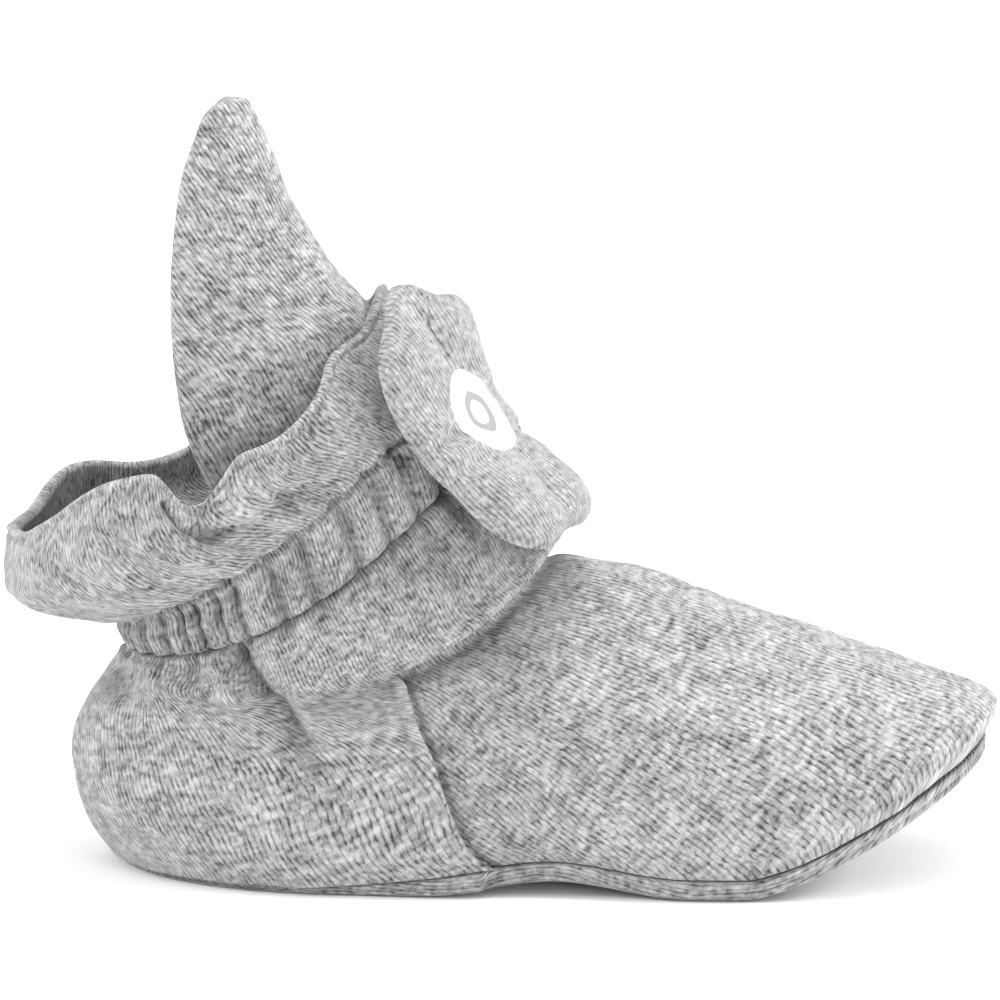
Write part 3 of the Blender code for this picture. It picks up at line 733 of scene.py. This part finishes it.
def build_sole():
    """The sole, with the roll of its seam and the fold under it."""
    angle = 360.0 * np.arange(PAD_COLUMNS) / PAD_COLUMNS
    edge = upper_surface(angle, 0.0)
    drop = heel_drop(edge[:, 0])
    high = SOLE_THICK + SOLE_LIFT - drop
    under_heel = drop / HEEL_DROP
    signed = (angle + 180.0) % 360.0 - 180.0
    seam = seam_angle(0.0)
    cloth_face = FACE + LAP_STEP * smooth_step(seam, seam + SOLE_SEAM_RISE, np.abs(signed))
    face = cloth_face + SOLE_PROUD - (HEEL_OVERHANG + SOLE_PROUD) * under_heel
    sides = [foot_point(angle, face + out, share * high) for out, share in SOLE_PROFILE]
    tucked = np.full_like(angle, LINING - GAP)
    sides.append(foot_point(angle, tucked, high))
    sides.append(foot_point(angle, tucked - SOLE_TUCK, SOLE_THICK))
    return add_pad("jersey_sole", sides)


def build_insole():
    """The foot bed inside."""
    angle = 360.0 * np.arange(PAD_COLUMNS) / PAD_COLUMNS
    base = SOLE_THICK + GAP
    sides = []
    for out, up in INSOLE_PROFILE:
        sides.append(foot_point(angle, np.full_like(angle, LINING + out), base + up))
    return add_pad("foot_bed", sides)


def tongue_surface(across, row):
    """The tongue's middle: across from -1 at the outer edge to 1, row in the table of sections."""
    section = table_at(TONGUE_SECTIONS, TONGUE_COLUMNS, row)
    turn = np.radians(90.0 * across)
    depth = 1.0 - np.cos(turn)
    x = section["crown_x"] + (section["edge_x"] - section["crown_x"]) * depth
    z = section["crown_z"] + (section["edge_z"] - section["crown_z"]) * depth
    return np.stack((x, section["edge_y"] * np.sin(turn), z), axis=-1)


TONGUE_TIP_DROP = 1.7  # the cloth's tip ends this much under the solid's sections
TONGUE_TIP_DROP_HEIGHTS = (88.0, 100.0)
TONGUE_TIP_TAPER = 0.72
TONGUE_TIP_RISE = (-0.2, 0.0, 1.3)
TONGUE_CROWDING = 1.25  # power that draws the columns to the tongue's edges
TONGUE_SEAM = (-0.2, 1.25, 0.24)
TONGUE_SEAM_ENDS = (4.0, 9.0)  # from the tip, over which the seam's groove comes in
TONGUE_PUFF = 0.25
TONGUE_PUFF_REACH = (1.5, 6.0)
TONGUE_LUMPS_REACH = (0.8, 4.0)


def tongue_points(across, rows):
    """The grid of the tongue's middle, with its round tip."""
    body = tongue_surface(across, rows[:, None])
    body[..., 2] -= TONGUE_TIP_DROP * smooth_step(*TONGUE_TIP_DROP_HEIGHTS, body[..., 2])
    tip_centre = body[-1, body.shape[1] // 2] + np.array(TONGUE_TIP)
    tip = []
    for i in range(1, TONGUE_TIP_STEPS + 1):
        turn = 0.5 * math.pi * i / TONGUE_TIP_STEPS
        share = 1.0 - math.cos(turn)
        up = math.sin(turn)
        flat = body[-1] + (tip_centre - body[-1]) * (TONGUE_TIP_TAPER * share)
        tip.append(flat + np.array(TONGUE_TIP_RISE) * up)
    return np.concatenate((body, np.stack(tip)))


def grid_normals(points):
    """Directions across a grid of points, from its rows and columns."""
    return unit(np.cross(np.gradient(points, axis=1), np.gradient(points, axis=0)))


def build_tongue():
    """The tall tongue: two layers of jersey, turned at the edge and pressed along the seam."""
    across = np.linspace(-1.0, 1.0, TONGUE_ACROSS_STEPS + 1)[None, :]
    across = np.sign(across) * (1.0 - (1.0 - np.abs(across)) ** TONGUE_CROWDING)
    middle = tongue_points(across, stations(TONGUE_ROWS))
    normal = grid_normals(middle)
    girth = steps_between(middle.transpose(1, 0, 2)).T
    from_side = np.minimum(girth, girth[:, -1:] - girth)
    length = steps_between(middle)
    from_tip = length[-1:] - length
    edge = np.minimum(from_side, from_tip)
    half = 0.5 * TONGUE_THICK * rounded(edge, TONGUE_ROLL)
    face = half + ridge(from_side, TONGUE_SEAM) * smooth_step(*TONGUE_SEAM_ENDS, from_tip)
    face = face + TONGUE_PUFF * smooth_step(*TONGUE_PUFF_REACH, edge)
    face = face + pressed(middle, TONGUE_CREASES)
    face = face + uneven(middle, TONGUE_LUMPS) * smooth_step(*TONGUE_LUMPS_REACH, edge)
    outer = middle + normal * face[..., None]
    inner = middle - normal * half[..., None]
    girth = steps_between(outer.transpose(1, 0, 2)).T
    crown = girth[:, girth.shape[1] // 2][:, None]
    length = steps_between(outer)
    crown_length = np.broadcast_to(length[:, length.shape[1] // 2][:, None], girth.shape)
    knit = np.stack((girth - crown, crown_length), axis=-1)
    return add_cloth("pointed_tongue", outer, inner, knit)


def tab_outline(angle):
    """The tab's edge: distance from its centre at an angle in degrees from its long axis."""
    turn = np.radians(angle)
    long_part = np.abs(np.cos(turn) / TAB_HALF_LENGTH) ** TAB_SQUARENESS
    wide_part = np.abs(np.sin(turn) / TAB_HALF_WIDTH) ** TAB_SQUARENESS
    reach = (long_part + wide_part) ** (-1.0 / TAB_SQUARENESS)
    for centre, width, depth in TAB_NOTCHES:
        reach = reach * (1.0 - depth * bell(angle_between(angle, centre), width))
    return reach


def tab_axes():
    """The tab's directions: along its length, across it to the inner side, and outwards."""
    lean, turn, roll = math.radians(TAB_LEAN), math.radians(TAB_TURN), math.radians(TAB_ROLL)
    upright = np.array((-math.sin(lean), 0.0, math.cos(lean)))
    front = np.array((math.cos(lean), 0.0, math.sin(lean)))
    side = np.array((0.0, 1.0, 0.0))
    level = side * math.cos(turn) + front * math.sin(turn)
    outward = front * math.cos(turn) - side * math.sin(turn)
    along = upright * math.cos(roll) - level * math.sin(roll)
    across = level * math.cos(roll) + upright * math.sin(roll)
    return along, across, outward


def tab_sheet(a, b):
    """The tab's inner face: a across and b along, in millimetres, bent round the ankle."""
    along, across, outward = tab_axes()
    bend = a / TAB_WRAP_RADIUS
    rise = TAB_END_RISE * (b / TAB_HALF_LENGTH) ** 2
    rise = rise + TAB_CURL * np.maximum(0.0, b / TAB_HALF_LENGTH) ** 2 * np.maximum(0.0, a / TAB_HALF_WIDTH)
    rise = rise - TAB_WRAP_RADIUS * (1.0 - np.cos(bend))
    sideways = TAB_WRAP_RADIUS * np.sin(bend)
    flat = np.array(TAB_CENTRE) + b[..., None] * along + sideways[..., None] * across
    return flat + rise[..., None] * outward


def tab_normal(a, b):
    step = 0.2
    sideways = tab_sheet(a + step, b) - tab_sheet(a - step, b)
    lengthways = tab_sheet(a, b + step) - tab_sheet(a, b - step)
    return unit(np.cross(sideways, lengthways))


TAB_CENTRE_SHARE = 0.004  # how far along the spokes the first ring is
TAB_PUFF_POWER = 2.6  # higher is flatter in the middle
TAB_SWELLS_REACH = (0.0, 0.5)  # share of the puff over which the swells come in from the edge
TAB_LUMPS_REACH = (0.0, 0.6)
TAB_SEAM = (-0.25, 1.5, 0.4)
# Swells and creases of the tab's padding: place across and along, size across and along, and height.
TAB_SWELLS = (
    (-6.4, 12.0, 5.0, 4.6, 0.7),
    (6.6, 14.2, 4.4, 4.4, 1.0),
    (-6.8, -11.0, 5.0, 5.0, 0.8),
    (6.6, -13.0, 4.6, 4.6, 0.9),
    (0.4, 2.0, 7.0, 7.5, -0.6),
    (-9.0, 1.6, 3.6, 1.2, -0.9),
    (-9.6, -3.0, 3.0, 1.0, -0.6),
    (0.4, 14.0, 1.4, 3.6, -0.8),
    (0.4, -12.0, 1.3, 4.4, -0.7),
    (8.6, 4.6, 2.8, 1.4, -0.7),
    (8.0, -2.0, 2.6, 1.2, -0.6),
)


def build_tab():
    """The padded closure tab with its four lobes."""
    angle = 360.0 * np.arange(TAB_SPOKES) / TAB_SPOKES
    turn = np.radians(angle)
    shares = np.sin(0.5 * math.pi * np.linspace(TAB_CENTRE_SHARE, 1.0, TAB_RINGS))[:, None]
    reach = shares * tab_outline(angle)[None, :]
    a, b = reach * np.sin(turn), reach * np.cos(turn)
    puff = np.broadcast_to(np.sqrt(np.maximum(0.0, 1.0 - shares**TAB_PUFF_POWER)), a.shape)
    over = TAB_EDGE_THICK + (TAB_THICK - TAB_EDGE_THICK) * puff
    for x, y, wide, long, height in TAB_SWELLS:
        swell = height * bell(a - x, wide) * bell(b - y, long)
        over = over + swell * smooth_step(*TAB_SWELLS_REACH, puff)
    sheet, normal = tab_sheet(a, b), tab_normal(a, b)
    from_edge = (1.0 - shares) * tab_outline(angle)[None, :]
    over = over + uneven(sheet, TAB_LUMPS) * smooth_step(*TAB_LUMPS_REACH, puff) + ridge(from_edge, TAB_SEAM)
    under = TAB_EDGE_TUCK * (1.0 - puff)
    front = sheet + normal * over[..., None]
    rear = sheet + normal * under[..., None]
    grid = np.concatenate((front, rear[::-1]))
    from_centre = steps_between(grid)[..., None]
    knit = closed(np.stack((np.sin(turn), np.cos(turn)), axis=-1) * from_centre)
    return add_shell("padded_tab", grid[:, ::-1], knit[:, ::-1])


def number(tree, socket, value):
    """Links a socket to a value that is a socket, or sets it to a number."""
    if isinstance(value, bpy.types.NodeSocket):
        tree.links.new(value, socket)
    else:
        socket.default_value = value


def sum_of(tree, operation, *values):
    """A Math node's result."""
    node = tree.nodes.new("ShaderNodeMath")
    node.operation = operation
    for socket, value in zip(node.inputs, values):
        number(tree, socket, value)
    return node.outputs[0]


def flat_vector(tree, x, y):
    node = tree.nodes.new("ShaderNodeCombineXYZ")
    number(tree, node.inputs[0], x)
    number(tree, node.inputs[1], y)
    return node.outputs[0]


def cloud(tree, vector, scale, detail=1.0):
    """Noise from 0 to 1 in two dimensions."""
    node = tree.nodes.new("ShaderNodeTexNoise")
    node.noise_dimensions = "2D"
    node.inputs["Scale"].default_value = scale
    node.inputs["Detail"].default_value = detail
    tree.links.new(vector, node.inputs["Vector"])
    return node.outputs["Fac"]


def blend(tree, share, low, high):
    """A colour between two others."""
    node = tree.nodes.new("ShaderNodeMix")
    node.data_type = "RGBA"
    number(tree, node.inputs[0], share)
    number(tree, node.inputs[6], low)
    number(tree, node.inputs[7], high)
    return node.outputs[2]


WALE_WIDTH = 0.68
COURSE_HEIGHT = 0.52
WALE_SWAY = 1.2
LOOP_SLANT = 0.8
RIB_POWER = 2.4  # higher is a wider rib between narrower valleys
RIB_SHOULDER = 0.7  # height of the rib over which the cloth's colour is painted lighter and under which it is painted darker, as painted shade in the valleys between the wales
# Noises of the cloth's shade: (scale, weight of what it adds to the shade)
DASH = (1.15, 0.9)
FLECK = (0.95, 1.0)
STREAK = (0.8, 0.75)
PATCH = (0.15, 0.4)
# weight of the painted shade in the valleys between the wales and the painted light on their ribs
GROOVE_SHADE_WEIGHT = 0.46


def around_zero(tree, value):
    return sum_of(tree, "SUBTRACT", value, 0.5)


def knit_group():
    """Jersey: wales, the loops in them and fibres of two greys, with painted shade in the valleys between
    the wales and painted light on their ribs. Gives a colour and a height.
    """
    group = bpy.data.node_groups.new("heather_jersey", "ShaderNodeTree")
    face = group.interface
    face.new_socket("Cloth", in_out="INPUT", socket_type="NodeSocketVector")
    for name, value in (("Wale", WALE_WIDTH), ("Course", COURSE_HEIGHT), ("Contrast", 1.0), ("Mottle", 1.0)):
        face.new_socket(name, in_out="INPUT", socket_type="NodeSocketFloat").default_value = value
    for name in ("Dark Fibre", "Light Fibre"):
        face.new_socket(name, in_out="INPUT", socket_type="NodeSocketColor")
    face.new_socket("Color", in_out="OUTPUT", socket_type="NodeSocketColor")
    face.new_socket("Height", in_out="OUTPUT", socket_type="NodeSocketFloat")
    given = group.nodes.new("NodeGroupInput").outputs
    result = group.nodes.new("NodeGroupOutput").inputs
    maths = partial(sum_of, group)

    split = group.nodes.new("ShaderNodeSeparateXYZ")
    group.links.new(given["Cloth"], split.inputs[0])
    u, v = split.outputs[0], split.outputs[1]
    sway = maths("MULTIPLY_ADD", cloud(group, given["Cloth"], 0.09), WALE_SWAY, -0.5 * WALE_SWAY)
    wale = maths("DIVIDE", maths("ADD", u, sway), given["Wale"])
    wale_number = maths("FLOOR", wale)
    from_middle = maths("FRACT", wale)
    from_middle = maths("ABSOLUTE", maths("MULTIPLY_ADD", from_middle, 2.0, -1.0))
    course = maths("DIVIDE", v, given["Course"])
    slanted = maths("MULTIPLY_ADD", from_middle, LOOP_SLANT, course)
    loop = maths("SINE", maths("MULTIPLY", maths("FRACT", slanted), math.pi))
    rib = maths("SUBTRACT", 1.0, maths("POWER", from_middle, RIB_POWER))

    dash_place = flat_vector(group, maths("MULTIPLY", wale_number, 7.31), v)
    dash = cloud(group, dash_place, DASH[0])
    fleck_along = maths("MULTIPLY", slanted, 0.5)
    fleck_place = flat_vector(group, maths("MULTIPLY", wale, 2.1), fleck_along)
    fleck = cloud(group, fleck_place, FLECK[0], 2.0)
    streak_place = flat_vector(group, maths("MULTIPLY", u, 0.5), v)
    streak = cloud(group, streak_place, STREAK[0], 2.0)
    patch = cloud(group, given["Cloth"], PATCH[0])

    # Painted shade: the colour is darkened in the valleys between the wales and lightened on their ribs,
    # more or less with the fibre dashes
    groove_shade_depth = maths("MULTIPLY_ADD", dash, -2.6, 2.0)
    valley = maths("MULTIPLY", maths("SUBTRACT", rib, RIB_SHOULDER), groove_shade_depth)
    mottle = maths("MULTIPLY", around_zero(group, streak), STREAK[1])
    mottle = maths("MULTIPLY_ADD", around_zero(group, patch), PATCH[1], mottle)
    shade = maths("MULTIPLY", mottle, given["Mottle"])
    # adds the painted groove shade to the fibre mottle
    shade = maths("MULTIPLY_ADD", valley, GROOVE_SHADE_WEIGHT, shade)
    shade = maths("MULTIPLY_ADD", around_zero(group, dash), DASH[1], shade)
    shade = maths("MULTIPLY_ADD", around_zero(group, fleck), FLECK[1], shade)
    shade = maths("MULTIPLY_ADD", shade, given["Contrast"], 0.5)
    limited = group.nodes.new("ShaderNodeClamp")
    group.links.new(shade, limited.inputs[0])
    colour = blend(group, limited.outputs[0], given["Dark Fibre"], given["Light Fibre"])
    group.links.new(colour, result["Color"])

    height = maths("MULTIPLY", rib, maths("MULTIPLY_ADD", loop, 0.25, 0.75))
    height = maths("MULTIPLY_ADD", fleck, 0.4, height)
    group.links.new(height, result["Height"])
    return group


KNIT_RELIEF = 0.00015
DARK_FIBRE = (0.040, 0.040, 0.042, 1.0)
LIGHT_FIBRE = (0.445, 0.445, 0.449, 1.0)
PRINT_WHITE = (0.72, 0.72, 0.72, 1.0)
PRINT_GREY = (0.22, 0.22, 0.225, 1.0)
PRINT_RADIUS = 6.1
PRINT_RING_RADIUS = 2.4
PRINT_RING_HALF_WIDTH = 0.65
PRINT_CENTRE = (0.1, 2.2)
PRINT_EDGE = 6.0  # how fast the print fades at its edge, for each millimetre
PRINT_ROUNDING = 0.01
PRINT_COVER = 0.8  # share of the knit's relief that the print hides
PRINT_HEIGHT = 0.7
PRINT_GLOSS = 0.4
JERSEY_ROUGHNESS = 0.93


def jersey(group, name, contrast=1.0, mottle=1.0, printed=False):
    """Jersey with its own contrast, and for the tab a round print on it."""
    material = bpy.data.materials.new(name)
    material.use_nodes = True
    tree = material.node_tree
    shader = tree.nodes["Principled BSDF"]
    shader.inputs["Roughness"].default_value = JERSEY_ROUGHNESS
    shader.inputs["Specular IOR Level"].default_value = 0.25
    shader.inputs["Sheen Weight"].default_value = 0.25
    shader.inputs["Sheen Roughness"].default_value = 0.5
    place = tree.nodes.new("ShaderNodeUVMap")
    place.uv_map = KNIT_LAYER
    knit = tree.nodes.new("ShaderNodeGroup")
    knit.node_tree = group
    tree.links.new(place.outputs[0], knit.inputs["Cloth"])
    knit.inputs["Contrast"].default_value = contrast
    knit.inputs["Mottle"].default_value = mottle
    knit.inputs["Dark Fibre"].default_value = DARK_FIBRE
    knit.inputs["Light Fibre"].default_value = LIGHT_FIBRE
    colour, height = knit.outputs["Color"], knit.outputs["Height"]
    if printed:
        colour, height = add_print(tree, shader, place.outputs[0], colour, height)
    tree.links.new(colour, shader.inputs["Base Color"])
    bump = tree.nodes.new("ShaderNodeBump")
    bump.inputs["Strength"].default_value = 0.8
    bump.inputs["Distance"].default_value = KNIT_RELIEF
    tree.links.new(height, bump.inputs["Height"])
    tree.links.new(bump.outputs[0], shader.inputs["Normal"])
    return material


def add_print(tree, shader, place, colour, height):
    """A round white print with a plain grey ring, laid over the knit."""
    offset = tree.nodes.new("ShaderNodeVectorMath")
    offset.operation = "DISTANCE"
    offset.inputs[1].default_value = (*PRINT_CENTRE, 0.0)
    tree.links.new(place, offset.inputs[0])
    distance = offset.outputs["Value"]
    inside = sum_of(tree, "MULTIPLY", sum_of(tree, "SUBTRACT", PRINT_RADIUS, distance), PRINT_EDGE)
    disc = sum_of(tree, "MAXIMUM", sum_of(tree, "SMOOTH_MIN", 1.0, inside, PRINT_ROUNDING), 0.0)
    ring = sum_of(tree, "ABSOLUTE", sum_of(tree, "SUBTRACT", distance, PRINT_RING_RADIUS))
    ring = sum_of(tree, "LESS_THAN", ring, PRINT_RING_HALF_WIDTH)
    ink = blend(tree, ring, PRINT_WHITE, PRINT_GREY)
    flat = sum_of(tree, "MULTIPLY", height, sum_of(tree, "MULTIPLY_ADD", disc, -PRINT_COVER, 1.0))
    flat = sum_of(tree, "ADD", flat, sum_of(tree, "MULTIPLY", disc, PRINT_HEIGHT))
    roughness = sum_of(tree, "MULTIPLY_ADD", disc, -PRINT_GLOSS, JERSEY_ROUGHNESS)
    tree.links.new(roughness, shader.inputs["Roughness"])
    return blend(tree, disc, colour, ink), flat


def finish_piece(piece, node, material):
    piece.data.materials.append(material)
    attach(piece, "root")
    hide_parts(node)


def build_shoe():
    group = knit_group()
    grey = jersey(group, "grey_heather_jersey")
    for piece in (build_heel(), build_band_and_frill(), build_vamp()):
        finish_piece(piece, "upper", grey)
    finish_piece(build_tongue(), "tongue", jersey(group, "tongue_heather_jersey", 1.1))
    tab = build_tab()
    tab_cloth = jersey(group, "tab_heather_jersey", 0.8, 0.7, printed=True)
    finish_piece(tab, "closure_tab", tab_cloth)
    sole = build_sole()
    finish_piece(sole, "sole", jersey(group, "sole_heather_jersey", 0.9))
    insole = build_insole()
    finish_piece(insole, "insole", jersey(group, "foot_bed_jersey", 0.7))


# Camera: the photograph's angle, and the place and width of its frame at the shoe
CAMERA_ELEVATION = 10.0
CAMERA_DISTANCE = 0.9
CAMERA_TARGET = (55.41, 0.0, 47.6)
FRAME_WIDTH = 130.38
SENSOR_WIDTH = 36.0


def add_camera():
    elevation = math.radians(CAMERA_ELEVATION)
    back = Vector((0.0, -math.cos(elevation), math.sin(elevation)))
    data = bpy.data.cameras.new("camera")
    data.sensor_width = SENSOR_WIDTH
    data.lens = SENSOR_WIDTH * CAMERA_DISTANCE / (FRAME_WIDTH * MM)
    data.clip_start = 0.01
    data.clip_end = 20.0
    camera = bpy.data.objects.new("camera", data)
    camera.location = Vector(to_frame(np.array(CAMERA_TARGET))) + back * CAMERA_DISTANCE
    camera.rotation_euler = (-back).to_track_quat("-Z", "Y").to_euler()
    bpy.context.scene.collection.objects.link(camera)
    bpy.context.scene.camera = camera


# Lights: name, place, size and power. These and the floor are in metres and watts.
LIGHTS = (
    ("overhead_softbox", (0.05, 0.05, 1.0), 0.35, 8.0),
    ("left_softbox", (-1.0, -0.1, 0.45), 0.30, 7.5),
    ("front_softbox", (0.6, -0.9, 0.15), 0.30, 3.8),
    ("right_softbox", (1.0, 0.1, 0.6), 0.30, 7.0),
)
LIGHTS_FACE = (0.03, 0.0, 0.04)
WORLD_BRIGHTNESS = 1.0
FLOOR_SIZE = 6.0


def add_lights():
    for name, place, size, power in LIGHTS:
        data = bpy.data.lights.new(name, "AREA")
        data.shape = "SQUARE"
        data.size = size
        data.energy = power
        light = bpy.data.objects.new(name, data)
        light.location = place
        light.rotation_euler = (Vector(LIGHTS_FACE) - Vector(place)).to_track_quat("-Z", "Y").to_euler()
        bpy.context.scene.collection.objects.link(light)
    world = bpy.data.worlds.new("studio")
    world.use_nodes = True
    world.node_tree.nodes["Background"].inputs["Color"].default_value = (1.0, 1.0, 1.0, 1.0)
    world.node_tree.nodes["Background"].inputs["Strength"].default_value = WORLD_BRIGHTNESS
    bpy.context.scene.world = world


def add_floor():
    half = 0.5 * FLOOR_SIZE
    mesh = bpy.data.meshes.new("floor")
    corners = [(x * half, y * half, 0.0) for x, y in ((-1.0, -1.0), (1.0, -1.0), (1.0, 1.0), (-1.0, 1.0))]
    mesh.from_pydata(corners, [], [(0, 1, 2, 3)])
    material = bpy.data.materials.new("pale_floor")
    material.use_nodes = True
    shader = material.node_tree.nodes["Principled BSDF"]
    shader.inputs["Base Color"].default_value = (0.96, 0.96, 0.96, 1.0)
    shader.inputs["Roughness"].default_value = 0.8
    mesh.materials.append(material)
    floor = bpy.data.objects.new("floor", mesh)
    bpy.context.scene.collection.objects.link(floor)


add_camera()
add_lights()
add_floor()
build_shoe()
bpy.context.scene.view_settings.view_transform = "Standard"
